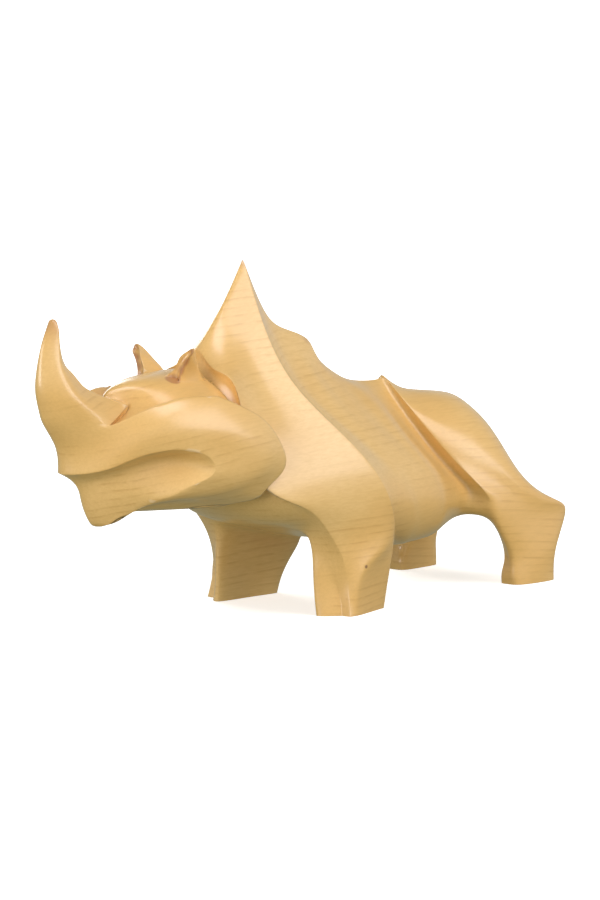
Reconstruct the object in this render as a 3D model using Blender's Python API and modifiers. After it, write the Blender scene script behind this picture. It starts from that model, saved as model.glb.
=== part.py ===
"""A stylised rhinoceros figurine carved from one block of pale, close-grained wood.

The carving is one solid: a body with a cape-like shoulder that rises to a peak, four short feet, a head
whose cheek curls around the mouth as one broad band, a curved horn and two ears. It faces -X and stands
on its soles at Z = 0. The origin is the bottom centre of its bounding box.
"""

import bpy
import numpy as np

LENGTH = 0.200  # from the horn's front to the hind feet's heels, in metres
WIDTH = 0.062  # across the shoulders, in metres
HEIGHT = 0.102  # from the ground to the shoulder's peak, in metres

# The forms are drawn in shares of those sizes. The carver's unit is a 350th of the height.
DRAWN_LENGTH = 686.6
DRAWN_WIDTH = 213.4
DRAWN_HEIGHT = 350
MIDDLE = -17.2  # middle of the drawn length, back from the middle of the front feet

SMOOTHING = 2  # subdivision of the coarse cages
FITTING_ROUNDS = 10  # passes that bring a cage's smooth surface onto the drawn points
KEPT_FACETS = {"rhinoceros": 0.45, "head": 0.5, "ears": 0.35}  # share kept of each smooth form
SHARP = 1.0  # crease of an arris
CRISP = 0.8  # crease of an edge that is rubbed a little
SOFT = 0.5  # crease of a rounded edge

WOOD_COLOUR = (0.72, 0.46, 0.19, 1.0)
WOOD_ROUGHNESS = 0.38

# Every point below is (back from the front feet, out to the side, up), in carver's units.
# The body's sections run from the crest of the back, over the flank, to the middle of the belly.
# The legs grow out of the fifth to seventh points from cape_rim to cape_edge and from hip_ridge to rump.
BODY = {
    "neck_end": [(-180, 0, 222), (-180, 0, 213), (-180, 0, 200), (-180, 0, 170),
                 (-172, 0, 150), (-165, 0, 140), (-158, 0, 132), (-150, 0, 125)],
    "neck": [(-151, 0, 242), (-151, 20, 233), (-146, 43, 210), (-130, 62, 160),
             (-118, 66, 125), (-116, 50, 110), (-114, 30, 102), (-112, 0, 98)],
    "cape_rim": [(-144, 0, 266), (-148, 28, 248), (-143.5, 53, 227), (-138, 74, 146),
                 (-88, 88, 114), (-72, 73, 97), (-66, 48, 88), (-66, 0, 84)],
    "cape": [(-108, 0, 307), (-103, 17, 277), (-98, 47, 222), (-66, 86, 158),
             (-14, 101, 111), None, (-16, 46, 75), (-16, 0, 71)],
    "cape_edge": [(-79, 0, 350), (-72, 20, 290), (-60, 56, 225), (-14, 95, 163),
                  (22, 106, 110), (50, 82, 72), (76, 46, 58), (72, 0, 57)],
    "scoop": [(-46, 0, 296), (-38, 16, 255), (-22, 45, 207), (18, 82, 158),
              (52, 98, 110), (74, 80, 68), (90, 44, 55), (90, 0, 53)],
    "scoop_end": [(-14, 0, 277), (-8, 18, 243), (6, 48, 198.5), (40, 80.5, 153.5),
                  (68, 95, 106), (88, 78, 67), (100, 44, 53), (102, 0, 51)],
    "knuckle": [(16, 0, 265.5), (14, 19, 233), (30, 51, 191), (58, 80.5, 149),
                (82, 92, 103), (98, 76, 66), (108, 44, 54), (112, 0, 51)],
    "saddle_front": [(27, 0, 249), (35, 21, 223), (51, 53, 184), (78, 80, 144),
                     (101, 90, 101), (114, 75, 67), (122, 43, 54), (126, 0, 51)],
    "saddle": [(48, 0, 233), (60, 23, 213), (76, 55, 175), (101, 79, 138),
               (124, 86, 99), (136, 71, 68), (142, 41, 55), (146, 0, 52)],
    "flank": [(80, 0, 220), (90, 24, 204), (106, 54, 166), (129, 73, 131),
              (148, 77, 98), (158, 64, 73), (164, 38, 58), (168, 0, 54)],
    "valley": [(121, 0, 217), (129, 14, 196), (148, 35, 157), (174, 52, 122),
               (192, 63, 97), (188, 57, 78), (192, 34, 67), (196, 0, 62)],
    "hip_ridge": [(130, 0, 221), (137.5, 20, 199), (157, 44, 161.5), (183, 64, 125),
                  (209, 80, 91), (208, 66, 75), (214, 42, 75), (216, 0, 73)],
    "hip": [(160, 0, 206), (168, 28, 190), (192, 58, 158), (218, 77, 122),
            (248, 87, 90), None, (250, 44, 72), (240, 0, 74)],
    "rump": [(222, 0, 197), (227, 26, 189), (244, 51, 161), (257, 72, 123),
             (288, 84, 92), (292, 66, 88), (276, 46, 84), (256, 0, 88)],
    "rear": [(244, 0, 190), (258, 0, 176), (270, 0, 152), (270, 0, 135),
             (264, 0, 120), (263, 0, 112), (262, 0, 104), (260, 0, 96)],
}

# A leg's rings from the top down to the sole. Each goes round the leg from its front outer corner: outer
# side, rear outer corner, rear side, rear inner corner, inner side, front inner corner, front side.
FRONT_LEG = [
    [(-50, 88, 85), (14, 102, 76), (38, 97, 74), (54, 76, 58),
     (64, 55, 50), (4, 54, 56), (-43, 58, 72), (-50, 70, 78)],
    [(-30, 90, 55), (-2, 101, 52), (38, 92.5, 47), (49, 76, 40),
     (55, 57, 36), (4, 58, 36), (-43.5, 62, 48), (-40, 75, 50)],
    [(-25, 92, 26), (-16, 98, 26), (37.5, 88, 22), (42, 75, 17),
     (43, 60, 16), (2, 61, 16), (-45, 64, 24), (-29, 82, 24)],
    [(-29, 98, -6), (-12, 97, -6), (36, 84, -6), (38, 72, -6),
     (35, 61, -6), (-2, 63, -6), (-44, 67, -6), (-30, 88, -6)],
]
HIND_LEG = [
    [(222, 84, 62), (262, 90, 66), (322, 88, 71), (318, 74, 68),
     (300, 60, 64), (264, 56, 60), (236, 60, 64), (226, 72, 62)],
    [(240, 86, 34), (270, 94, 38), (304, 93, 40), (304, 80, 38),
     (298, 66, 36), (270, 62, 32), (249, 66, 32), (241, 76, 32)],
    [(243, 88, 12), (268, 95, 14), (298, 93, 14), (300, 80, 14),
     (297, 67, 14), (268, 64, 12), (244, 67, 12), (240, 78, 12)],
    [(245, 90, -6), (268, 95, -6), (297, 94, -6), (300, 80, -6),
     (297, 67, -6), (268, 65, -6), (245, 67, -6), (242, 78, -6)],
]

# The cheek's band runs in loops around the mouth: five points over it from front to back, two behind it
# and five below it from back to front. The outermost loop lies on the head's middle plane.
HEAD_LOOPS = {
    "middle": [None, (-262, 0, 238), (-234, 0, 245), (-198, 0, 248),
               (-150, 0, 243), (-122, 0, 200), (-112, 0, 170), (-112, 0, 145),
               (-140, 0, 118), (-175, 0, 118), (-210, 0, 118), None],
    "skull": [None, (-248, 17, 228), (-230, 27, 235), (-196, 34, 237),
              (-153, 37, 228), (-128, 44, 200), (-112, 36, 168), (-112, 36, 145),
              (-140, 30, 120), (-175, 24, 119), (-210, 16, 119), None],
    "wall": [(-289, 25, 205), (-264, 33, 209), (-233, 47, 217), (-197, 57, 218),
             (-163, 65, 206), (-136, 69, 192), (-118, 70, 168), (-120, 66, 146),
             (-150, 56, 128), (-185, 44, 122), (-213, 30, 120), (-238, 12, 118)],
    "edge": [(-299, 30, 207), (-272, 44, 217), (-237, 57, 228), (-200, 68, 229),
             (-167, 78, 219), (-138, 85, 202), (-118, 89, 176), (-114, 87, 153),
             (-130, 78, 134), (-153, 60, 122), (-185, 42, 119), (-244, 20, 120)],
    "band": [(-307, 25, 187), (-284, 43, 195), (-259, 61, 205), (-221, 77, 205),
             (-185, 87, 196), (-156, 92, 178), (-150, 91, 158), (-168, 83, 143),
             (-192, 70, 134), (-212, 55, 130), (-239, 36, 127), (-270, 16, 117)],
    "lip": [(-314, 20, 162), (-293, 36, 168), (-274, 50, 177), (-247, 66, 182),
            (-220, 77, 178), (-206, 81, 167), (-207, 80, 156), (-218, 73, 147),
            (-239, 58, 137), (-252, 41, 130), (-265, 24, 119), (-280, 10, 109)],
}
MOUTH = {
    "recess": [(-301, 10, 152), (-281, 25, 159), (-259, 38, 168), (-232, 54, 172)],
    "jaw": [(-294, 9, 129), (-278, 23, 139), (-259, 38, 149), (-233, 56, 157)],
}
# Down the middle of the face: horn's foot, nose, lip, mouth, chin and back along the throat.
FACE = [(-349, 0, 208), (-333, 0, 186), (-328, 0, 161), (-308, 0, 147), (-296, 0, 122),
        (-284, 0, 107), (-266, 0, 114), (-250, 0, 117), (-238, 0, 119)]

# The horn's sections from the tip down: front, side crease, ridge of the rear facet, hollow between the ridges.
# The ridges end in a prong on each side, a low step above the skull.
HORN = [
    [(-345, 0, 303), (-339, 5, 303), (-336, 2.5, 303), (-334.5, 0, 303)],
    [(-352, 0, 289), (-339, 7.5, 290), (-334.5, 3.5, 290), (-331.5, 0, 289)],
    [(-357, 0, 273), (-341, 10, 273.5), (-332, 4.5, 273), (-328.5, 0, 272)],
    [(-360, 0, 256), (-341, 14, 258), (-326, 6, 261), (-322, 0, 259)],
    [(-360, 0, 239), (-336, 18.5, 244), (-312, 7, 248), (-309, 0, 245)],
    [(-355, 0, 222), (-326, 23, 230), (-296, 9, 237), (-293, 0, 235)],
]
HORN_TIP = (-340, 0, 308)
HORN_ROOT = {"prong": (-258.5, 18, 221.5), "hollow": (-278, 0, 231.5),
             "prong_foot": (-254, 15, 218.5), "hollow_foot": (-274, 0, 230)}

# An ear's rings from its root up: front, front outer edge, outer side, rear, inner side, front inner edge.
EAR = [
    [(-196, 24, 232), (-198, 29, 229), (-182, 31, 227), (-158, 27, 226), (-170, 18, 230), (-199, 17, 236)],
    [(-196, 23, 245), (-198.5, 28, 242), (-186, 30, 242), (-163, 26, 241), (-174, 19, 245), (-200, 18, 248.5)],
    [(-193.5, 29.5, 260), (-195.5, 34.5, 260), (-188, 34, 258), (-174, 29, 256), (-182, 26, 258), (-197, 25, 260)],
    [(-190, 35.5, 268), (-192.5, 39, 268), (-188, 37.5, 267), (-182, 34, 267), (-187, 33, 268), (-192, 32, 269)],
]
EAR_TIP = (-189, 38, 272.5)


class Cage:
    """The coarse near half of a form: drawn points by name, faces between them and creases along them."""

    def __init__(self):
        self.place = {}
        self.points = []
        self.faces = []
        self.creases = {}

    def add(self, name, point):
        self.place[name] = len(self.points)
        self.points.append(point)

    def face(self, *names):
        self.faces.append([self.place[name] for name in names])

    def crease(self, names, sharpness):
        for pair in zip(names, names[1:]):
            self.creases[frozenset(self.place[name] for name in pair)] = sharpness


def body_cage():
    cage = Cage()
    sections = list(BODY)
    for section, points in BODY.items():
        for row, point in enumerate(points):
            if point is not None:
                cage.add((section, row), point)
    legs = (("cape_rim", "cape", "cape_edge", FRONT_LEG), ("hip_ridge", "hip", "rump", HIND_LEG))
    leg_holes = {(section, row) for front, middle, _, _ in legs for section in (front, middle) for row in (4, 5)}
    for front, back in zip(sections, sections[1:]):
        for row in range(7):
            if (front, row) not in leg_holes:
                cage.face((front, row), (front, row + 1), (back, row + 1), (back, row))
    for front, middle, back, rings in legs:
        root = [(front, 4), (middle, 4), (back, 4), (back, 5), (back, 6), (middle, 6), (front, 6), (front, 5)]
        add_leg(cage, front, root, rings)
    cage.crease([("cape_rim", row) for row in range(5)] + leg_line("cape_rim", 0), CRISP)
    cage.crease([("cape_edge", row) for row in range(5)] + leg_line("cape_rim", 2), CRISP)
    cage.crease([("hip_ridge", row) for row in range(5)], CRISP)
    cage.crease(leg_line("cape_rim", 1), SOFT)
    cage.crease(leg_line("cape_rim", 7), CRISP)
    cage.crease([(section, 0) for section in sections[2:-2]], SOFT)
    return cage


def leg_line(leg, corner):
    """The names down one corner of a leg."""
    return [(leg, ring, corner) for ring in range(len(FRONT_LEG))]


def add_leg(cage, leg, root, rings):
    above = root
    for ring, points in enumerate(rings):
        names = [(leg, ring, corner) for corner in range(8)]
        for name, point in zip(names, points):
            cage.add(name, point)
        for corner in range(8):
            after = (corner + 1) % 8
            cage.face(above[corner], names[corner], names[after], above[after])
        above = names
    sole = (leg, "sole")
    cage.add(sole, tuple(np.mean(rings[-1], axis=0)))
    for corner in range(0, 8, 2):
        cage.face(above[corner - 1], sole, above[corner + 1], above[corner])
    cage.crease(above + above[:1], SHARP)


def head_cage():
    cage = Cage()
    for loop, points in (HEAD_LOOPS | MOUTH).items():
        for step, point in enumerate(points):
            if point is not None:
                cage.add((loop, step), point)
    for step, point in enumerate(FACE):
        cage.add(("face", step), point)
    loops = list(HEAD_LOOPS)
    last = len(HEAD_LOOPS["edge"]) - 1
    for outer, inner in zip(loops, loops[1:]):
        for step in range(last):
            if step in (0, last - 1) and outer in ("middle", "skull"):
                continue
            cage.face((outer, step), (inner, step), (inner, step + 1), (outer, step + 1))
    add_mouth(cage, last)
    down_face = [("edge", 0), ("band", 0), ("lip", 0), ("recess", 0), ("jaw", 0),
                 ("lip", last), ("band", last), ("edge", last), ("wall", last)]
    for step, (upper, lower) in enumerate(zip(down_face, down_face[1:])):
        cage.face(("face", step), ("face", step + 1), lower, upper)
    throat = ("face", len(FACE) - 1)
    cage.face(("skull", last - 1), ("wall", last - 1), ("wall", last), throat)
    cage.face(("middle", last - 1), ("skull", last - 1), throat)
    add_horn(cage)
    cage.crease([("edge", step) for step in range(4)], SOFT)
    cage.crease([("edge", step) for step in range(3, 10)], CRISP)
    cage.crease([("face", 2)] + [("lip", step) for step in range(8)], CRISP)
    cage.crease([("lip", step) for step in range(7, last + 1)], SOFT)
    return cage


def add_horn(cage):
    """The horn grows out of the nose; its side crease runs on as the upper edge of the cheek's band."""
    for ring, points in enumerate(HORN):
        for line, point in enumerate(points):
            cage.add((ring, line), point)
    cage.add("tip", HORN_TIP)
    for name, point in HORN_ROOT.items():
        cage.add(name, point)
    rings = [[(ring, line) for line in range(4)] for ring in range(len(HORN))]
    rings.append([("face", 0), ("edge", 0), "prong", "hollow"])
    for upper, lower in zip(rings, rings[1:]):
        for line in range(3):
            cage.face(upper[line], lower[line], lower[line + 1], upper[line + 1])
    cage.face("tip", (0, 0), (0, 1))
    cage.face("tip", (0, 1), (0, 2), (0, 3))
    cage.face(("edge", 0), ("wall", 0), "prong_foot", "prong")
    cage.face("prong", "prong_foot", "hollow_foot", "hollow")
    cage.face("prong_foot", ("wall", 0), ("wall", 1), ("skull", 1))
    cage.face("hollow_foot", "prong_foot", ("skull", 1), ("middle", 1))
    cage.crease([ring[1] for ring in rings], SOFT)
    cage.crease([ring[2] for ring in rings[3:]], CRISP)
    cage.crease([("edge", 0), "prong", "hollow"], CRISP)
    cage.crease([("wall", 0), "prong_foot", "hollow_foot"], CRISP)


def add_mouth(cage, last):
    """Closes the innermost loop: the lip's edge, the recess under it and the jaw's bulge below that."""
    rows = [[("lip", step) for step in range(5)],
            [("recess", step) for step in range(4)] + [("lip", 5)],
            [("jaw", step) for step in range(4)] + [("lip", 6)],
            [("lip", last - step) for step in range(5)]]
    for upper, lower in zip(rows, rows[1:]):
        for step in range(4):
            cage.face(upper[step], lower[step], lower[step + 1], upper[step + 1])


def ear_cage():
    cage = Cage()
    for ring, points in enumerate(EAR):
        for corner, point in enumerate(points):
            cage.add((ring, corner), point)
    cage.add("tip", EAR_TIP)
    top = len(EAR) - 1
    for ring in range(top):
        for corner in range(6):
            after = (corner + 1) % 6
            cage.face((ring, corner), (ring, after), (ring + 1, after), (ring + 1, corner))
    for corner in (0, 2, 4):
        cage.face("tip", (top, corner - 1 if corner else 5), (top, corner), (top, corner + 1))
    cage.face((0, 0), (0, 5), (0, 2), (0, 1))
    cage.face((0, 5), (0, 4), (0, 3), (0, 2))
    cage.crease([(ring, 1) for ring in range(top + 1)], CRISP)
    cage.crease([(ring, 5) for ring in range(top + 1)], CRISP)
    return cage


def figure_frame(point):
    """A drawn point in metres, in the figurine's own frame; its near side is -Y."""
    back, out, up = point
    return ((back - MIDDLE) * LENGTH / DRAWN_LENGTH, -out * WIDTH / DRAWN_WIDTH, up * HEIGHT / DRAWN_HEIGHT)


def make_form(name, cage, collection):
    """The smooth form of a cage and its mirror image on the far side."""
    mesh = bpy.data.meshes.new(name)
    mesh.from_pydata([figure_frame(point) for point in cage.points], [], cage.faces)
    creases = mesh.attributes.new("crease_edge", "FLOAT", "EDGE")
    for edge in mesh.edges:
        creases.data[edge.index].value = cage.creases.get(frozenset(edge.vertices), 0.0)
    form = bpy.data.objects.new(name, mesh)
    collection.objects.link(form)
    mirror = form.modifiers.new("far side", "MIRROR")
    mirror.use_axis = (False, True, False)
    mirror.merge_threshold = 0.00001
    smooth = form.modifiers.new("smoothing", "SUBSURF")
    smooth.levels = SMOOTHING
    smooth.render_levels = SMOOTHING
    fit_to_drawing(form, cage)
    facets = form.modifiers.new("fewer facets", "DECIMATE")
    facets.ratio = KEPT_FACETS[name]
    facets.use_symmetry = True
    facets.symmetry_axis = "Y"
    return form


def fit_to_drawing(form, cage):
    """Moves the cage until its smooth surface passes through the drawn points."""
    drawn = np.array([figure_frame(point) for point in cage.points])
    placed = drawn.copy()
    for _ in range(FITTING_ROUNDS):
        shown = form.evaluated_get(bpy.context.evaluated_depsgraph_get())
        smooth = shown.to_mesh()
        placed += drawn - np.array([smooth.vertices[place].co for place in range(len(drawn))])
        shown.to_mesh_clear()
        form.data.vertices.foreach_set("co", placed.ravel())
        form.data.update()


def wood():
    material = bpy.data.materials.new("pale_wood")
    material.use_nodes = True
    shader = material.node_tree.nodes["Principled BSDF"]
    shader.inputs["Base Color"].default_value = WOOD_COLOUR
    shader.inputs["Roughness"].default_value = WOOD_ROUGHNESS
    return material


def join(figure, form):
    """Joins another form to the figure as one solid; the form itself is only a helper."""
    form.hide_render = True
    form.display_type = "WIRE"
    union = figure.modifiers.new("with " + form.name, "BOOLEAN")
    union.operation = "UNION"
    union.solver = "EXACT"
    union.object = form


def cut_soles(figure, collection):
    """Cuts the feet off flat on the ground: they are drawn too long, down into a block wider than the figure."""
    length, width, depth = 1.2 * LENGTH, 1.4 * WIDTH, 0.06 * HEIGHT
    bpy.ops.mesh.primitive_cube_add(size=1, location=(0, 0, -depth / 2))
    block = bpy.context.object
    block.name = "below_ground"
    block.scale = (length, width, depth)
    bpy.ops.object.transform_apply(location=True, scale=True)
    for home in block.users_collection:
        home.objects.unlink(block)
    collection.objects.link(block)
    block.hide_render = True
    block.display_type = "WIRE"
    cut = figure.modifiers.new("flat soles", "BOOLEAN")
    cut.operation = "DIFFERENCE"
    cut.solver = "EXACT"
    cut.object = block


def make_figure():
    figure_collection = bpy.data.collections.new("carved_rhinoceros")
    helper_collection = bpy.data.collections.new("joined_forms")
    for collection in (figure_collection, helper_collection):
        bpy.context.scene.collection.children.link(collection)
    figure = make_form("rhinoceros", body_cage(), figure_collection)
    for name, cage in (("head", head_cage()), ("ears", ear_cage())):
        join(figure, make_form(name, cage, helper_collection))
    cut_soles(figure, helper_collection)
    figure.data.materials.append(wood())


for leftover in list(bpy.data.objects):
    bpy.data.objects.remove(leftover, do_unlink=True)
make_figure()
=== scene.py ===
"""Dresses the carved rhinoceros: finer carving with rubbed edges, lacquered pale wood, studio and camera.

The carving is drawn again from the same points as the plain solid and stands in its place. The wood is
procedural: growth rings cut by the surface, fibre streaks along the back, pin knots and reddish tips, with
painted highlights along the edges and painted shade in the hollows.
"""

import math

import bpy
import numpy as np
from mathutils import Matrix, Vector


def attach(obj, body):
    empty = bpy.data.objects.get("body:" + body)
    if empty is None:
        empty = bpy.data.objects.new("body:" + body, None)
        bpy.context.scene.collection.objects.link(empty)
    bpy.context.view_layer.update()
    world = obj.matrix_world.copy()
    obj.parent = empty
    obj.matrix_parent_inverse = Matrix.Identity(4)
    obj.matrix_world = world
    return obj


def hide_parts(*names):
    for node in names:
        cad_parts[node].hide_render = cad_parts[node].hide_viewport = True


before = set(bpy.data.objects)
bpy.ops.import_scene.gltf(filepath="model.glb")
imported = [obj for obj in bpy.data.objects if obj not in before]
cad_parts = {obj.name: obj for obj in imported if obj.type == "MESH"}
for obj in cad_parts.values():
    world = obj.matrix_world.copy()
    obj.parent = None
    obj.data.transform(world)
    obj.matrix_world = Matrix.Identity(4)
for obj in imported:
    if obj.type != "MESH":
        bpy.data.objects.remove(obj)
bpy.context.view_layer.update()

LENGTH = 0.200  # from the horn's front to the hind feet's heels, in metres
WIDTH = 0.062  # across the shoulders, in metres
HEIGHT = 0.102  # from the ground to the shoulder's peak, in metres

# The forms are drawn in shares of those sizes. The carver's unit is a 350th of the height.
DRAWN_LENGTH = 686.6
DRAWN_WIDTH = 213.4
DRAWN_HEIGHT = 350
UNIT = HEIGHT / DRAWN_HEIGHT
MIDDLE = -17.2  # middle of the drawn length, back from the middle of the front feet

SMOOTHING = 3  # subdivision of the coarse cages
FITTING_ROUNDS = 10  # passes that bring a cage's smooth surface onto the drawn points
SHARP = 1.0  # crease of an arris
CRISP = 1.0  # crease of an edge that is rubbed a little
SOFT = 0.4  # crease of a rounded edge
SHADING_ANGLE = 35  # degrees between facets above which an edge is shaded sharp
MERGE_DISTANCE = 0.00001  # metres within which the two halves' points on the middle plane become one
RUBBED_WIDTH = 0.0004  # metres that a crisp edge is rubbed back to
RUBBED_ANGLE = 24  # degrees between facets above which an edge is rubbed

# Every point below is (back from the front feet, out to the side, up), in carver's units. None stands for
# a point that the form leaves out.
# The body's sections run from the crest of the back, over the flank, to the middle of the belly.
BODY = {
    "neck_end": [(-180, 0, 222), (-180, 0, 213), (-180, 0, 200), (-180, 0, 170),
                 (-172, 0, 150), (-165, 0, 140), (-158, 0, 132), (-150, 0, 125)],
    "neck": [(-151, 0, 242), (-151, 20, 233), (-146, 43, 210), (-130, 62, 160),
             (-118, 66, 125), (-116, 50, 110), (-114, 30, 102), (-112, 0, 98)],
    "cape_rim": [(-144, 0, 266), (-148, 28, 248), (-143.5, 53, 227), (-138, 74, 146),
                 (-88, 88, 114), (-72, 73, 97), (-66, 48, 88), (-66, 0, 84)],
    "cape": [(-108, 0, 307), (-103, 17, 277), (-98, 47, 222), (-66, 86, 158),
             (-14, 101, 111), None, (-16, 46, 75), (-16, 0, 71)],
    "cape_edge": [(-79, 0, 350), (-72, 20, 290), (-60, 56, 225), (-14, 95, 163),
                  (22, 106, 110), (50, 82, 72), (76, 46, 58), (72, 0, 57)],
    "scoop": [(-46, 0, 296), (-38, 16, 255), (-22, 45, 207), (18, 82, 158),
              (52, 98, 110), (74, 80, 68), (90, 44, 55), (90, 0, 53)],
    "scoop_end": [(-14, 0, 277), (-8, 18, 243), (6, 48, 198.5), (40, 80.5, 153.5),
                  (68, 95, 106), (88, 78, 67), (100, 44, 53), (102, 0, 51)],
    "knuckle": [(16, 0, 265.5), (14, 19, 233), (30, 51, 191), (58, 80.5, 149),
                (82, 92, 103), (98, 76, 66), (108, 44, 54), (112, 0, 51)],
    "saddle_front": [(27, 0, 249), (35, 21, 223), (51, 53, 184), (78, 80, 144),
                     (101, 90, 101), (114, 75, 67), (122, 43, 54), (126, 0, 51)],
    "saddle": [(48, 0, 233), (60, 23, 213), (76, 55, 175), (101, 79, 138),
               (124, 86, 99), (136, 71, 68), (142, 41, 55), (146, 0, 52)],
    "flank": [(80, 0, 220), (90, 24, 204), (106, 54, 166), (129, 73, 131),
              (148, 77, 98), (158, 64, 73), (164, 38, 58), (168, 0, 54)],
    "valley": [(121, 0, 217), (129, 14, 196), (148, 35, 157), (174, 52, 122),
               (192, 63, 97), (188, 57, 78), (192, 34, 67), (196, 0, 62)],
    "hip_ridge": [(130, 0, 221), (137.5, 20, 199), (157, 44, 161.5), (183, 64, 125),
                  (209, 80, 91), (208, 66, 75), (214, 42, 75), (216, 0, 73)],
    "hip": [(160, 0, 206), (168, 28, 190), (192, 58, 158), (218, 77, 122),
            (248, 87, 90), None, (250, 44, 72), (240, 0, 74)],
    "rump": [(222, 0, 197), (227, 26, 189), (244, 51, 161), (257, 72, 123),
             (288, 84, 92), (292, 66, 88), (276, 46, 84), (256, 0, 88)],
    "rear": [(244, 0, 190), (258, 0, 176), (270, 0, 152), (270, 0, 135),
             (264, 0, 120), (263, 0, 112), (262, 0, 104), (260, 0, 96)],
}

LEG_ROWS = (4, 5, 6)  # places in a section of the outer, middle and inner point that a leg grows out of

# A leg's rings from the top down to the sole. Each goes round the leg from its front outer corner: outer
# side, rear outer corner, rear side, rear inner corner, inner side, front inner corner, front side. The
# feet go on below the ground, where they are cut off.
FRONT_OUTER, OUTER_SIDE, REAR_OUTER, FRONT_SIDE = 0, 1, 2, 7
FRONT_LEG = [
    [(-50, 88, 85), (14, 102, 76), (38, 97, 74), (54, 76, 58),
     (64, 55, 50), (4, 54, 56), (-43, 58, 72), (-50, 70, 78)],
    [(-30, 90, 55), (-2, 101, 52), (38, 92.5, 47), (49, 76, 40),
     (55, 57, 36), (4, 58, 36), (-43.5, 62, 48), (-40, 75, 50)],
    [(-25, 92, 26), (-16, 98, 26), (37.5, 88, 22), (42, 75, 17),
     (43, 60, 16), (2, 61, 16), (-45, 64, 24), (-29, 82, 24)],
    [(-29, 98, -6), (-12, 97, -6), (36, 84, -6), (38, 72, -6),
     (35, 61, -6), (-2, 63, -6), (-44, 67, -6), (-30, 88, -6)],
]
HIND_LEG = [
    [(222, 84, 62), (262, 90, 66), (322, 88, 71), (318, 74, 68),
     (300, 60, 64), (264, 56, 60), (236, 60, 64), (226, 72, 62)],
    [(240, 86, 34), (270, 94, 38), (304, 93, 40), (304, 80, 38),
     (298, 66, 36), (270, 62, 32), (249, 66, 32), (241, 76, 32)],
    [(243, 88, 12), (268, 95, 14), (298, 93, 14), (300, 80, 14),
     (297, 67, 14), (268, 64, 12), (244, 67, 12), (240, 78, 12)],
    [(245, 90, -6), (268, 95, -6), (297, 94, -6), (300, 80, -6),
     (297, 67, -6), (268, 65, -6), (245, 67, -6), (242, 78, -6)],
]

# The three sections that each leg grows out of, from front to rear, and its rings.
LEGS = (("cape_rim", "cape", "cape_edge", FRONT_LEG), ("hip_ridge", "hip", "rump", HIND_LEG))

# The cheek's band runs in loops around the mouth: five points over it from front to back, two behind it
# and five below it from back to front. The outermost loop lies on the head's middle plane.
HEAD_LOOPS = {
    "middle": [None, (-262, 0, 238), (-234, 0, 245), (-198, 0, 248),
               (-150, 0, 243), (-122, 0, 200), (-112, 0, 170), (-112, 0, 145),
               (-140, 0, 118), (-175, 0, 118), (-210, 0, 118), None],
    "skull": [None, (-248, 17, 228), (-230, 27, 235), (-196, 34, 237),
              (-153, 37, 228), (-128, 44, 200), (-112, 36, 168), (-112, 36, 145),
              (-140, 30, 120), (-175, 24, 119), (-210, 16, 119), None],
    "wall": [(-289, 25, 205), (-264, 33, 209), (-233, 47, 217), (-197, 57, 218),
             (-163, 65, 206), (-136, 69, 192), (-118, 70, 168), (-120, 66, 146),
             (-150, 56, 128), (-185, 44, 122), (-213, 30, 120), (-238, 12, 118)],
    "edge": [(-299, 30, 207), (-272, 44, 217), (-237, 57, 228), (-200, 68, 229),
             (-167, 78, 219), (-138, 85, 202), (-118, 89, 176), (-114, 87, 153),
             (-130, 78, 134), (-153, 60, 122), (-185, 42, 119), (-244, 20, 120)],
    "band": [(-307, 25, 187), (-284, 43, 195), (-259, 61, 205), (-221, 77, 205),
             (-185, 87, 196), (-156, 92, 178), (-150, 91, 158), (-168, 83, 143),
             (-192, 70, 134), (-212, 55, 130), (-239, 36, 127), (-270, 16, 117)],
    "lip": [(-314, 20, 162), (-293, 36, 168), (-274, 50, 177), (-247, 66, 182),
            (-220, 77, 178), (-206, 81, 167), (-207, 80, 156), (-218, 73, 147),
            (-239, 58, 137), (-252, 41, 130), (-265, 24, 119), (-280, 10, 109)],
}
MOUTH = {
    "recess": [(-301, 10, 152), (-281, 25, 159), (-259, 38, 168), (-232, 54, 172)],
    "jaw": [(-294, 9, 129), (-278, 23, 139), (-259, 38, 149), (-233, 56, 157)],
}
# Down the middle of the face: horn's foot, nose, lip, mouth, chin and back along the throat.
FACE = [(-349, 0, 208), (-333, 0, 186), (-328, 0, 161), (-308, 0, 147), (-296, 0, 122),
        (-284, 0, 107), (-266, 0, 114), (-250, 0, 117), (-238, 0, 119)]

# The horn's sections from the tip down: front, side crease, ridge of the rear facet and hollow between the
# ridges. The ridges end in a prong on each side, a low step above the skull.
SIDE_CREASE, RIDGE = 1, 2
RIDGE_START = 3  # the section where the ridge gets crisp
HORN = [
    [(-345, 0, 303), (-339, 5, 303), (-336, 2.5, 303), (-334.5, 0, 303)],
    [(-352, 0, 289), (-339, 7.5, 290), (-334.5, 3.5, 290), (-331.5, 0, 289)],
    [(-357, 0, 273), (-341, 10, 273.5), (-332, 4.5, 273), (-328.5, 0, 272)],
    [(-360, 0, 256), (-341, 14, 258), (-326, 6, 261), (-322, 0, 259)],
    [(-360, 0, 239), (-336, 18.5, 244), (-312, 7, 248), (-309, 0, 245)],
    [(-355, 0, 222), (-326, 23, 230), (-296, 9, 237), (-293, 0, 235)],
]
HORN_TIP = (-340, 0, 308)
HORN_ROOT = {"prong": (-258.5, 18, 221.5), "hollow": (-278, 0, 231.5),
             "prong_foot": (-254, 15, 218.5), "hollow_foot": (-274, 0, 230)}

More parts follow.
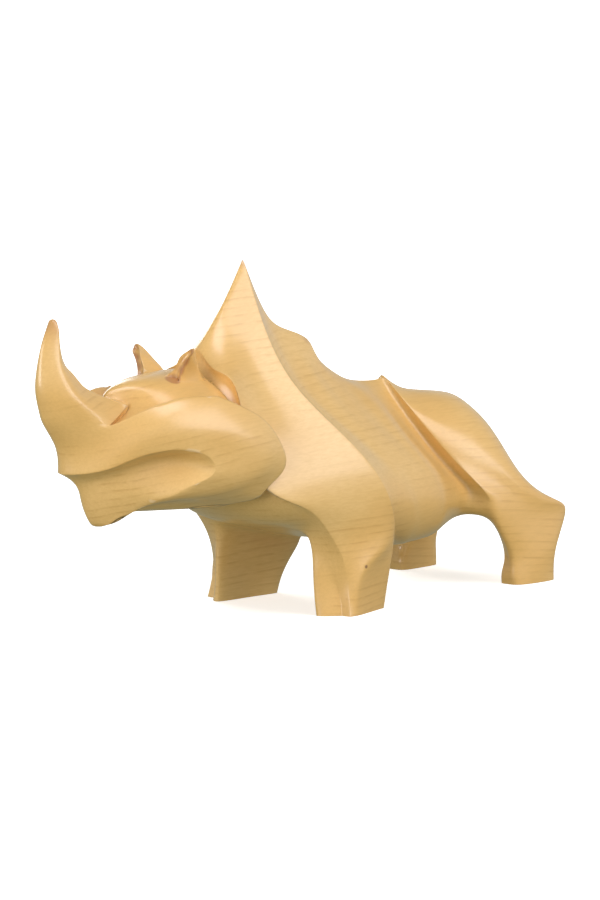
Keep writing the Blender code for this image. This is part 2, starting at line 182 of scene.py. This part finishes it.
# An ear's rings from its root up: front, front outer edge, outer side, rear, inner side, front inner edge.
OUTER_EDGE, INNER_EDGE = 1, 5
EAR = [
    [(-196, 24, 232), (-198, 29, 229), (-182, 31, 227),
     (-158, 27, 226), (-170, 18, 230), (-199, 17, 236)],
    [(-196, 23, 245), (-198.5, 28, 242), (-186, 30, 242),
     (-163, 26, 241), (-174, 19, 245), (-200, 18, 248.5)],
    [(-193.5, 29.5, 260), (-195.5, 34.5, 260), (-188, 34, 258),
     (-174, 29, 256), (-182, 26, 258), (-197, 25, 260)],
    [(-190, 35.5, 268), (-192.5, 39, 268), (-188, 37.5, 267),
     (-182, 34, 267), (-187, 33, 268), (-192, 32, 269)],
]
EAR_TIP = (-189, 38, 272.5)


class Cage:
    """The coarse near half of a form: drawn points by name, faces between them and creases along them."""

    def __init__(self):
        self.place = {}
        self.points = []
        self.faces = []
        self.creases = {}

    def add(self, name, point):
        self.place[name] = len(self.points)
        self.points.append(point)

    def face(self, *names):
        self.faces.append([self.place[name] for name in names])

    def crease(self, names, sharpness):
        for pair in zip(names, names[1:]):
            self.creases[frozenset(self.place[name] for name in pair)] = sharpness


def body_cage():
    """The body's skin between its sections, with the two near legs."""
    cage = Cage()
    for section, points in BODY.items():
        for row, point in enumerate(points):
            if point is not None:
                cage.add((section, row), point)
    outer, between, inner = LEG_ROWS
    leg_holes = {(section, row) for front, middle, _, _ in LEGS
                 for section in (front, middle) for row in (outer, between)}
    sections = list(BODY)
    belly = len(BODY["neck"]) - 1
    for front, back in zip(sections, sections[1:]):
        for row in range(belly):
            if (front, row) not in leg_holes:
                cage.face((front, row), (front, row + 1), (back, row + 1), (back, row))
    for front, middle, back, rings in LEGS:
        root = [(front, outer), (middle, outer), (back, outer), (back, between),
                (back, inner), (middle, inner), (front, inner), (front, between)]
        add_leg(cage, front, root, rings)
    cage.crease(down_section("cape_rim") + leg_line("cape_rim", FRONT_OUTER), CRISP)
    cage.crease(down_section("cape_edge") + leg_line("cape_rim", REAR_OUTER), CRISP)
    cage.crease(down_section("hip_ridge"), CRISP)
    cage.crease(leg_line("cape_rim", OUTER_SIDE), SOFT)
    cage.crease(leg_line("cape_rim", FRONT_SIDE), CRISP)
    # The crest of the back is a soft edge from the cape's rim to the hip.
    cage.crease([(section, 0) for section in sections[2:-2]], SOFT)
    return cage


def down_section(section):
    """The names down a section from the crest of the back to the outer side of the leg."""
    return [(section, row) for row in range(LEG_ROWS[0] + 1)]


def leg_line(leg, corner):
    """The names down one corner of a leg, which is named after its first section."""
    return [(leg, ring, corner) for ring in range(len(FRONT_LEG))]


def add_leg(cage, leg, root, rings):
    """Grows a leg down from its root, the names round its opening in the body, to a sharp sole."""
    above = root
    corners = len(root)
    for ring, points in enumerate(rings):
        names = [(leg, ring, corner) for corner in range(corners)]
        for name, point in zip(names, points):
            cage.add(name, point)
        for corner in range(corners):
            after = (corner + 1) % corners
            cage.face(above[corner], names[corner], names[after], above[after])
        above = names
    sole = (leg, "sole")
    cage.add(sole, tuple(np.mean(rings[-1], axis=0)))
    for corner in range(0, corners, 2):
        cage.face(above[corner - 1], sole, above[corner + 1], above[corner])
    cage.crease(above + above[:1], SHARP)


def head_cage():
    """The head: loops round the mouth, closed by the face in front and the horn on top."""
    cage = Cage()
    for loop, points in (HEAD_LOOPS | MOUTH).items():
        for step, point in enumerate(points):
            if point is not None:
                cage.add((loop, step), point)
    for step, point in enumerate(FACE):
        cage.add(("face", step), point)
    loops = list(HEAD_LOOPS)
    last = len(HEAD_LOOPS["edge"]) - 1
    for outer, inner in zip(loops, loops[1:]):
        for step in range(last):
            filled_by_horn_or_throat = step in (0, last - 1) and outer in ("middle", "skull")
            if not filled_by_horn_or_throat:
                cage.face((outer, step), (inner, step), (inner, step + 1), (outer, step + 1))
    add_mouth(cage, last)
    down_face = [("edge", 0), ("band", 0), ("lip", 0), ("recess", 0), ("jaw", 0),
                 ("lip", last), ("band", last), ("edge", last), ("wall", last)]
    for step, (upper, lower) in enumerate(zip(down_face, down_face[1:])):
        cage.face(("face", step), ("face", step + 1), lower, upper)
    throat = ("face", len(FACE) - 1)
    cage.face(("skull", last - 1), ("wall", last - 1), ("wall", last), throat)
    cage.face(("middle", last - 1), ("skull", last - 1), throat)
    add_horn(cage)
    # The band's edge is soft beside the skull and crisp round the cheek. The lip is crisp above the mouth
    # and soft below it.
    cage.crease([("edge", step) for step in range(4)], SOFT)
    cage.crease([("edge", step) for step in range(3, 10)], CRISP)
    cage.crease([("face", 2)] + [("lip", step) for step in range(8)], CRISP)
    cage.crease([("lip", step) for step in range(7, last + 1)], SOFT)
    return cage


def add_horn(cage):
    """The horn grows out of the nose; its side crease runs on as the upper edge of the cheek's band."""
    for ring, points in enumerate(HORN):
        for line, point in enumerate(points):
            cage.add((ring, line), point)
    cage.add("tip", HORN_TIP)
    for name, point in HORN_ROOT.items():
        cage.add(name, point)
    lines = len(HORN[0])
    rings = [[(ring, line) for line in range(lines)] for ring in range(len(HORN))]
    rings.append([("face", 0), ("edge", 0), "prong", "hollow"])
    for upper, lower in zip(rings, rings[1:]):
        for line in range(lines - 1):
            cage.face(upper[line], lower[line], lower[line + 1], upper[line + 1])
    cage.face("tip", (0, 0), (0, 1))
    cage.face("tip", (0, 1), (0, 2), (0, 3))
    cage.face(("edge", 0), ("wall", 0), "prong_foot", "prong")
    cage.face("prong", "prong_foot", "hollow_foot", "hollow")
    cage.face("prong_foot", ("wall", 0), ("wall", 1), ("skull", 1))
    cage.face("hollow_foot", "prong_foot", ("skull", 1), ("middle", 1))
    cage.crease([ring[SIDE_CREASE] for ring in rings], SOFT)
    cage.crease([ring[RIDGE] for ring in rings[RIDGE_START:]], CRISP)
    cage.crease([("edge", 0), "prong", "hollow"], CRISP)
    cage.crease([("wall", 0), "prong_foot", "hollow_foot"], CRISP)


def add_mouth(cage, last):
    """Closes the innermost loop: the lip's edge, the recess under it and the jaw's bulge below that."""
    inside = len(MOUTH["recess"])
    rows = [[("lip", step) for step in range(inside + 1)],
            [("recess", step) for step in range(inside)] + [("lip", inside + 1)],
            [("jaw", step) for step in range(inside)] + [("lip", inside + 2)],
            [("lip", last - step) for step in range(inside + 1)]]
    for upper, lower in zip(rows, rows[1:]):
        for step in range(inside):
            cage.face(upper[step], lower[step], lower[step + 1], upper[step + 1])


def ear_cage():
    """The near ear, closed at its tip and at its root inside the skull."""
    cage = Cage()
    for ring, points in enumerate(EAR):
        for corner, point in enumerate(points):
            cage.add((ring, corner), point)
    cage.add("tip", EAR_TIP)
    top = len(EAR) - 1
    corners = len(EAR[0])
    for ring in range(top):
        for corner in range(corners):
            after = (corner + 1) % corners
            cage.face((ring, corner), (ring, after), (ring + 1, after), (ring + 1, corner))
    for corner in range(0, corners, 2):
        cage.face("tip", (top, (corner - 1) % corners), (top, corner), (top, corner + 1))
    cage.face((0, 0), (0, 5), (0, 2), (0, 1))
    cage.face((0, 5), (0, 4), (0, 3), (0, 2))
    for edge in (OUTER_EDGE, INNER_EDGE):
        cage.crease([(ring, edge) for ring in range(top + 1)], CRISP)
    return cage


def figure_frame(point):
    """A drawn point in metres, in the figurine's own frame; its near side is -Y."""
    back, out, up = point
    return ((back - MIDDLE) * LENGTH / DRAWN_LENGTH, -out * WIDTH / DRAWN_WIDTH, up * HEIGHT / DRAWN_HEIGHT)


def make_form(name, cage):
    """The smooth form of a cage and its mirror image on the far side."""
    mesh = bpy.data.meshes.new(name)
    mesh.from_pydata([figure_frame(point) for point in cage.points], [], cage.faces)
    creases = mesh.attributes.new("crease_edge", "FLOAT", "EDGE")
    for edge in mesh.edges:
        creases.data[edge.index].value = cage.creases.get(frozenset(edge.vertices), 0.0)
    form = bpy.data.objects.new(name, mesh)
    bpy.context.scene.collection.objects.link(form)
    mirror = form.modifiers.new("far side", "MIRROR")
    mirror.use_axis = (False, True, False)
    mirror.merge_threshold = MERGE_DISTANCE
    smooth = form.modifiers.new("smoothing", "SUBSURF")
    smooth.levels = SMOOTHING
    smooth.render_levels = SMOOTHING
    fit_to_drawing(form, cage)
    rubbed = form.modifiers.new("rubbed edges", "BEVEL")
    rubbed.width = RUBBED_WIDTH
    rubbed.segments = 2
    rubbed.limit_method = "ANGLE"
    rubbed.angle_limit = math.radians(RUBBED_ANGLE)
    return form


def fit_to_drawing(form, cage):
    """Moves the cage until its smooth surface passes through the drawn points.

    The smooth surface's first points are the cage's own, in their order.
    """
    drawn = np.array([figure_frame(point) for point in cage.points])
    placed = drawn.copy()
    for _ in range(FITTING_ROUNDS):
        shown = form.evaluated_get(bpy.context.evaluated_depsgraph_get())
        smooth = shown.to_mesh()
        placed += drawn - np.array([smooth.vertices[place].co for place in range(len(drawn))])
        shown.to_mesh_clear()
        form.data.vertices.foreach_set("co", placed.ravel())
        form.data.update()


def boolean(figure, other, operation):
    """Joins another form to the figure, or cuts it away."""
    cut = figure.modifiers.new(operation.lower() + " " + other.name, "BOOLEAN")
    cut.operation = operation
    cut.solver = "EXACT"
    cut.object = other


def ground_block():
    """A block below the ground, wider than the figure: the feet are drawn too long, down into it."""
    length, width, depth = 1.2 * LENGTH, 1.4 * WIDTH, 0.06 * HEIGHT
    bpy.ops.mesh.primitive_cube_add(size=1, location=(0, 0, -depth / 2))
    block = bpy.context.object
    block.scale = (length, width, depth)
    bpy.ops.object.transform_apply(location=True, scale=True)
    return block


def carve_figure():
    """The whole carving as one mesh with its edges shaded by their angle."""
    figure = make_form("carving", body_cage())
    head = make_form("head", head_cage())
    ears = make_form("ears", ear_cage())
    ground = ground_block()
    boolean(figure, head, "UNION")
    boolean(figure, ears, "UNION")
    boolean(figure, ground, "DIFFERENCE")
    carved = bpy.data.meshes.new_from_object(figure.evaluated_get(bpy.context.evaluated_depsgraph_get()))
    figure.modifiers.clear()
    figure.data = carved
    for helper in (head, ears, ground):
        bpy.data.objects.remove(helper, do_unlink=True)
    for polygon in carved.polygons:
        polygon.use_smooth = True
    carved.set_sharp_from_angle(angle=math.radians(SHADING_ANGLE))
    return figure


class Shader:
    """A material's node tree, built node by node."""

    def __init__(self, name):
        self.material = bpy.data.materials.new(name)
        self.material.use_nodes = True
        self.nodes = self.material.node_tree.nodes
        self.links = self.material.node_tree.links
        self.surface = self.nodes["Principled BSDF"]

    def put(self, value, socket):
        """Sets a socket to a value, or joins it to another node's output."""
        if isinstance(value, bpy.types.NodeSocket):
            self.links.new(value, socket)
        else:
            socket.default_value = value

    def math(self, operation, *values):
        """The result of a sum, a product or the like of values and other nodes' outputs."""
        node = self.nodes.new("ShaderNodeMath")
        node.operation = operation
        for value, socket in zip(values, node.inputs):
            self.put(value, socket)
        return node.outputs[0]

    def scaled(self, vector, scale):
        node = self.nodes.new("ShaderNodeVectorMath")
        node.operation = "MULTIPLY"
        self.put(vector, node.inputs[0])
        node.inputs[1].default_value = scale
        return node.outputs[0]

    def noise(self, vector, scale, detail=2.0, roughness=0.5):
        node = self.nodes.new("ShaderNodeTexNoise")
        self.put(vector, node.inputs["Vector"])
        node.inputs["Scale"].default_value = scale
        node.inputs["Detail"].default_value = detail
        node.inputs["Roughness"].default_value = roughness
        return node.outputs[0]

    def spread(self, value, low, high, to_low=0.0, to_high=1.0):
        """Maps low to high onto to_low to to_high with soft ends."""
        node = self.nodes.new("ShaderNodeMapRange")
        node.interpolation_type = "SMOOTHSTEP"
        for place, number in enumerate((value, low, high, to_low, to_high)):
            self.put(number, node.inputs[place])
        return node.outputs[0]

    def mix(self, share, first, second, blend="MIX"):
        """Mixes two colours; the node's colour sockets come after its number and vector ones."""
        node = self.nodes.new("ShaderNodeMix")
        node.data_type = "RGBA"
        node.blend_type = blend
        self.put(share, node.inputs[0])
        self.put(first, node.inputs[6])
        self.put(second, node.inputs[7])
        return node.outputs[2]

    def near(self, vector, point, inner, outer):
        """One within inner metres of a drawn point, fading to nothing at outer metres."""
        node = self.nodes.new("ShaderNodeVectorMath")
        node.operation = "DISTANCE"
        self.put(vector, node.inputs[0])
        node.inputs[1].default_value = figure_frame(point)
        return self.spread(node.outputs["Value"], inner, outer, 1.0, 0.0)


# The wood. A noise's scale is per metre, a stretch below one draws it out along the figurine, and its range
# says between which of its values the effect grows from its least to its full share.
WOOD_LIGHT = (0.87, 0.59, 0.235, 1)
WOOD_DEEP = (0.81, 0.50, 0.16, 1)
PATCH_SCALE = 18  # of the patches of deeper wood
PATCH_RANGE = (0.35, 0.65)
FIBRE_TONE = (0.70, 0.43, 0.13, 1)
FIBRE_SCALE = 1800
FIBRE_STRETCH = (0.12, 1.0, 1.0)
FIBRE_RANGE = (0.3, 0.7)
FIBRE_SHARE = 0.35  # how strong the fibre's tone gets
FIBRE_DEPTH = 0.0002  # metres of relief, of which the bump shows FIBRE_RELIEF
FIBRE_RELIEF = 0.05
RING_LINE = (0.86, 0.80, 0.70, 1)
RING_SPACING = 0.0023  # metres
RING_AXIS = (0.031, -0.50)  # X and Z of the middle of the rings, in metres
RING_WANDER = 1.6  # spacings that a ring strays
WANDER_SCALE, ZONE_SCALE, DASH_SCALE = 60, 70, 420  # of the straying, the clearer zones and the dashes
DASH_STRETCH = (0.3, 1.0, 1.0)
ZONE_STRETCH = (0.4, 1.0, 1.0)
ZONE_RANGE, ZONE_SHARES = (0.38, 0.62), (0.1, 1.0)
DASH_RANGE, DASH_SHARES = (0.35, 0.65), (0.1, 0.8)
LINE_RISE = (0.55, 0.92)  # parts of the spacing over which a line darkens
LINE_END = (0.94, 1.0)  # and over which it ends
# Pointiness is 0.5 on flat wood, more on an edge and less in a hollow: where each painted tone starts and is
# full.
# Painted highlight: edges are made lighter where the lacquer's shine would show as a bright line.
EDGE_HIGHLIGHT_TONE = (0.95, 0.75, 0.48, 1)
EDGE_HIGHLIGHT_BEND = (0.52, 0.60)
EDGE_HIGHLIGHT_SHARE = 0.5
# Painted shade: hollows and creases are made darker where less light reaches.
HOLLOW_SHADE_TONE = (0.50, 0.25, 0.07, 1)
HOLLOW_SHADE_BEND = (0.485, 0.42)
HOLLOW_SHADE_SHARE = 0.55
RED_TONE = (0.42, 0.17, 0.07, 1)
# Reddish heartwood: a drawn point, its full and its fading radius in carver's units, and how strong it is.
RED_SPOTS = (((-344, 0, 306), 2, 24, 0.45), ((-358, 5, 296), 1, 9, 0.5), ((-79, 0, 352), 2, 14, 0.4),
             ((14, 0, 268), 2, 12, 0.4), ((-203, 24, 243), 6, 9, 0.75), ((-202, 29, 252), 6, 9.5, 0.75),
             ((-199, 34, 260), 5, 9, 0.75), ((-194, 38, 270), 3, 7, 0.7))
KNOT_TONE = (0.30, 0.16, 0.06, 1)
KNOTS = ((-8, 100, 48), (-40, 20, 268))
KNOT_SIZE = (1.0, 2.5)  # full and fading radius of a pin knot, in carver's units
WOOD_ROUGHNESS = 0.45
LACQUER_ROUGHNESS = 0.22
BEVEL_SAMPLES = 6


def lacquered_wood():
    """Pale wood under a coat of lacquer."""
    wood = Shader("lacquered_pale_wood")
    place = wood.nodes.new("ShaderNodeTexCoord").outputs["Object"]
    patches = wood.noise(place, PATCH_SCALE, detail=3.0)
    tone = wood.mix(wood.spread(patches, *PATCH_RANGE), WOOD_LIGHT, WOOD_DEEP)
    fibre = wood.noise(wood.scaled(place, FIBRE_STRETCH), FIBRE_SCALE, detail=3.0, roughness=0.6)
    tone = wood.mix(wood.spread(fibre, *FIBRE_RANGE, 0.0, FIBRE_SHARE), tone, FIBRE_TONE)
    tone = wood.mix(growth_lines(wood, place), tone, RING_LINE, "MULTIPLY")
    bend = wood.nodes.new("ShaderNodeNewGeometry").outputs["Pointiness"]
    # Painted highlight: lighter along the edges, by how sharply the surface bends.
    tone = wood.mix(wood.spread(bend, *EDGE_HIGHLIGHT_BEND, 0.0, EDGE_HIGHLIGHT_SHARE), tone, EDGE_HIGHLIGHT_TONE)
    # Painted shade: darker in the hollows, by how deeply the surface is bent in.
    tone = wood.mix(wood.spread(bend, *HOLLOW_SHADE_BEND, 0.0, HOLLOW_SHADE_SHARE), tone, HOLLOW_SHADE_TONE)
    near_side = one_side(wood, place)
    for point, inner, outer, share in RED_SPOTS:
        red = wood.math("MULTIPLY", wood.near(near_side, point, inner * UNIT, outer * UNIT), share)
        tone = wood.mix(red, tone, RED_TONE)
    knot_core, knot_rim = KNOT_SIZE
    for point in KNOTS:
        tone = wood.mix(wood.near(place, point, knot_core * UNIT, knot_rim * UNIT), tone, KNOT_TONE)
    wood.put(tone, wood.surface.inputs["Base Color"])
    wood.surface.inputs["Roughness"].default_value = WOOD_ROUGHNESS
    wood.surface.inputs["Coat Weight"].default_value = 1.0
    wood.surface.inputs["Coat Roughness"].default_value = LACQUER_ROUGHNESS
    bevel = wood.nodes.new("ShaderNodeBevel")
    bevel.samples = BEVEL_SAMPLES
    bevel.inputs["Radius"].default_value = RUBBED_WIDTH
    bump = wood.nodes.new("ShaderNodeBump")
    bump.inputs["Strength"].default_value = FIBRE_RELIEF
    bump.inputs["Distance"].default_value = FIBRE_DEPTH
    wood.put(fibre, bump.inputs["Height"])
    wood.put(bevel.outputs[0], bump.inputs["Normal"])
    wood.put(bump.outputs[0], wood.surface.inputs["Normal"])
    return wood.material


def growth_lines(wood, place):
    """How strongly a dark growth line shows.

    The lines are rings round a far axis that the surface cuts. Each darkens slowly and ends at once, and they
    are clearer in some zones and broken into dashes.
    """
    parts = wood.nodes.new("ShaderNodeSeparateXYZ")
    wood.put(place, parts.inputs[0])
    back = wood.math("SUBTRACT", parts.outputs[0], RING_AXIS[0])
    up = wood.math("SUBTRACT", parts.outputs[2], RING_AXIS[1])
    radius = wood.math("SQRT", wood.math("ADD", *[wood.math("MULTIPLY", side, side) for side in (back, up)]))
    drawn_out = wood.scaled(place, DASH_STRETCH)
    wander = wood.math("MULTIPLY", wood.noise(drawn_out, WANDER_SCALE), RING_WANDER)
    ring = wood.math("FRACT", wood.math("ADD", wood.math("DIVIDE", radius, RING_SPACING), wander))
    line = wood.math("MULTIPLY", wood.spread(ring, *LINE_RISE), wood.spread(ring, *LINE_END, 1.0, 0.0))
    zones = wood.noise(wood.scaled(place, ZONE_STRETCH), ZONE_SCALE)
    zone = wood.spread(zones, *ZONE_RANGE, *ZONE_SHARES)
    dashes = wood.spread(wood.noise(drawn_out, DASH_SCALE), *DASH_RANGE, *DASH_SHARES)
    return wood.math("MULTIPLY", line, wood.math("MULTIPLY", zone, dashes))


def one_side(wood, place):
    """The place folded over to the near side, so that what is drawn there shows on both."""
    parts = wood.nodes.new("ShaderNodeSeparateXYZ")
    wood.put(place, parts.inputs[0])
    folded = wood.nodes.new("ShaderNodeCombineXYZ")
    wood.put(parts.outputs[0], folded.inputs[0])
    wood.put(wood.math("MULTIPLY", wood.math("ABSOLUTE", parts.outputs[1]), -1.0), folded.inputs[1])
    wood.put(parts.outputs[2], folded.inputs[2])
    return folded.outputs[0]


FLOOR_SIZE = 80  # metres, so that its edge is far behind the figurine
PAPER_TONE = (0.9, 0.9, 0.89, 1)
PAPER_ROUGHNESS = 0.7
# The floor's own light is dimmer round the figurine, where shadows should show, and rises to full between
# two distances from the front feet, in metres.
GLOW_NEAR, GLOW_FAR = 0.62, 1.0
GLOW_RISE = (0.15, 0.8)


def pale_floor():
    """White paper that runs on into a white background."""
    bpy.ops.mesh.primitive_plane_add(size=FLOOR_SIZE, location=(0, 0, 0))
    floor = bpy.context.object
    floor.name = "floor"
    paper = Shader("white_paper")
    paper.surface.inputs["Base Color"].default_value = PAPER_TONE
    paper.surface.inputs["Roughness"].default_value = PAPER_ROUGHNESS
    paper.surface.inputs["Emission Color"].default_value = (1, 1, 1, 1)
    place = paper.nodes.new("ShaderNodeTexCoord").outputs["Object"]
    nearness = paper.near(place, (0, 0, 0), *GLOW_RISE)
    glow = paper.spread(nearness, 0.0, 1.0, GLOW_FAR, GLOW_NEAR)
    paper.put(glow, paper.surface.inputs["Emission Strength"])
    floor.data.materials.append(paper.material)
    # Its glow doesn't light the wood and doesn't show in the lacquer.
    floor.visible_diffuse = False
    floor.visible_glossy = False


AZIMUTH, ELEVATION = -48.0, 6.8  # degrees
TARGET = (5.3, 0, 154.5)  # what the middle of the picture shows, in carver's units
DISTANCE = 4000  # units from the target to the camera
LENS, SENSOR = 160, 36  # millimetres
CLIP_START, CLIP_END = 0.01, 50  # metres from the camera


def frame_of_view(azimuth, elevation):
    """Right, up and back of a viewer at these angles round the figurine."""
    around, above = math.radians(azimuth), math.radians(elevation)
    back = Vector((math.sin(around) * math.cos(above), -math.cos(around) * math.cos(above), math.sin(above)))
    right = Vector((math.cos(around), math.sin(around), 0))
    return right, back.cross(right), back


def add_camera():
    """The photograph's view, with the picture's height set by the sensor's."""
    camera = bpy.data.objects.new("camera", bpy.data.cameras.new("camera"))
    bpy.context.scene.collection.objects.link(camera)
    camera.data.lens = LENS
    camera.data.sensor_fit = "VERTICAL"
    camera.data.sensor_height = SENSOR
    right, up, back = frame_of_view(AZIMUTH, ELEVATION)
    camera.matrix_world = Matrix((right, up, back)).transposed().to_4x4()
    camera.matrix_world.translation = Vector(figure_frame(TARGET)) + back * DISTANCE * UNIT
    camera.data.clip_start = CLIP_START
    camera.data.clip_end = CLIP_END
    bpy.context.scene.camera = camera


# Soft lights: azimuth and elevation round the figurine, distance and width in metres, watts, colour.
LIGHTS = {
    "key": (17, 25, 0.9, 0.6, 3.5, (1.0, 0.94, 0.97)),
    "fill": (-80, 12, 1.0, 0.5, 4.6, (1.0, 0.94, 0.94)),
    "top": (-2, 60, 0.8, 0.35, 2.0, (1.0, 0.92, 0.96)),
    "back": (160, 30, 1.0, 0.6, 4.5, (1.0, 0.97, 0.94)),
}
# From straight down (0) over the horizon (0.5) to straight up (1).
WORLD_SHADES = ((0.0, (0.50, 0.50, 0.30, 1)), (0.42, (0.60, 0.60, 0.45, 1)), (0.5, (1.0, 1.0, 1.0, 1)),
                (0.62, (0.9, 0.95, 0.92, 1)), (0.85, (0.36, 0.40, 0.36, 1)))
WORLD_STRENGTH = 0.52


def add_lights():
    """Square soft boxes turned to the middle of the figurine, and the studio round them."""
    for name, (azimuth, elevation, distance, width, watts, colour) in LIGHTS.items():
        lamp = bpy.data.objects.new(name, bpy.data.lights.new(name, "AREA"))
        bpy.context.scene.collection.objects.link(lamp)
        lamp.data.size = width
        lamp.data.energy = watts
        lamp.data.color = colour
        right, up, back = frame_of_view(azimuth, elevation)
        lamp.matrix_world = Matrix((right, up, back)).transposed().to_4x4()
        lamp.matrix_world.translation = Vector((0, 0, HEIGHT / 2)) + back * distance
    add_world()
    bpy.context.scene.view_settings.view_transform = "Standard"


def add_world():
    """A white studio: brightest round the horizon, dimmer overhead and below."""
    world = bpy.data.worlds.new("studio")
    world.use_nodes = True
    nodes, links = world.node_tree.nodes, world.node_tree.links
    direction = nodes.new("ShaderNodeTexCoord").outputs["Generated"]
    parts = nodes.new("ShaderNodeSeparateXYZ")
    height = nodes.new("ShaderNodeMapRange")
    height.inputs["From Min"].default_value = -1.0
    shades = nodes.new("ShaderNodeValToRGB")
    ramp = shades.color_ramp
    ramp.interpolation = "EASE"
    while len(ramp.elements) < len(WORLD_SHADES):
        ramp.elements.new(1.0)
    for element, (place, colour) in zip(ramp.elements, WORLD_SHADES):
        element.position = place
        element.color = colour
    links.new(direction, parts.inputs[0])
    links.new(parts.outputs[2], height.inputs[0])
    links.new(height.outputs[0], shades.inputs[0])
    links.new(shades.outputs[0], nodes["Background"].inputs["Color"])
    nodes["Background"].inputs["Strength"].default_value = WORLD_STRENGTH
    bpy.context.scene.world = world


carving = carve_figure()
carving.data.materials.clear()
carving.data.materials.append(lacquered_wood())
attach(carving, "root")
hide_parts("rhinoceros")
pale_floor()
add_camera()
add_lights()
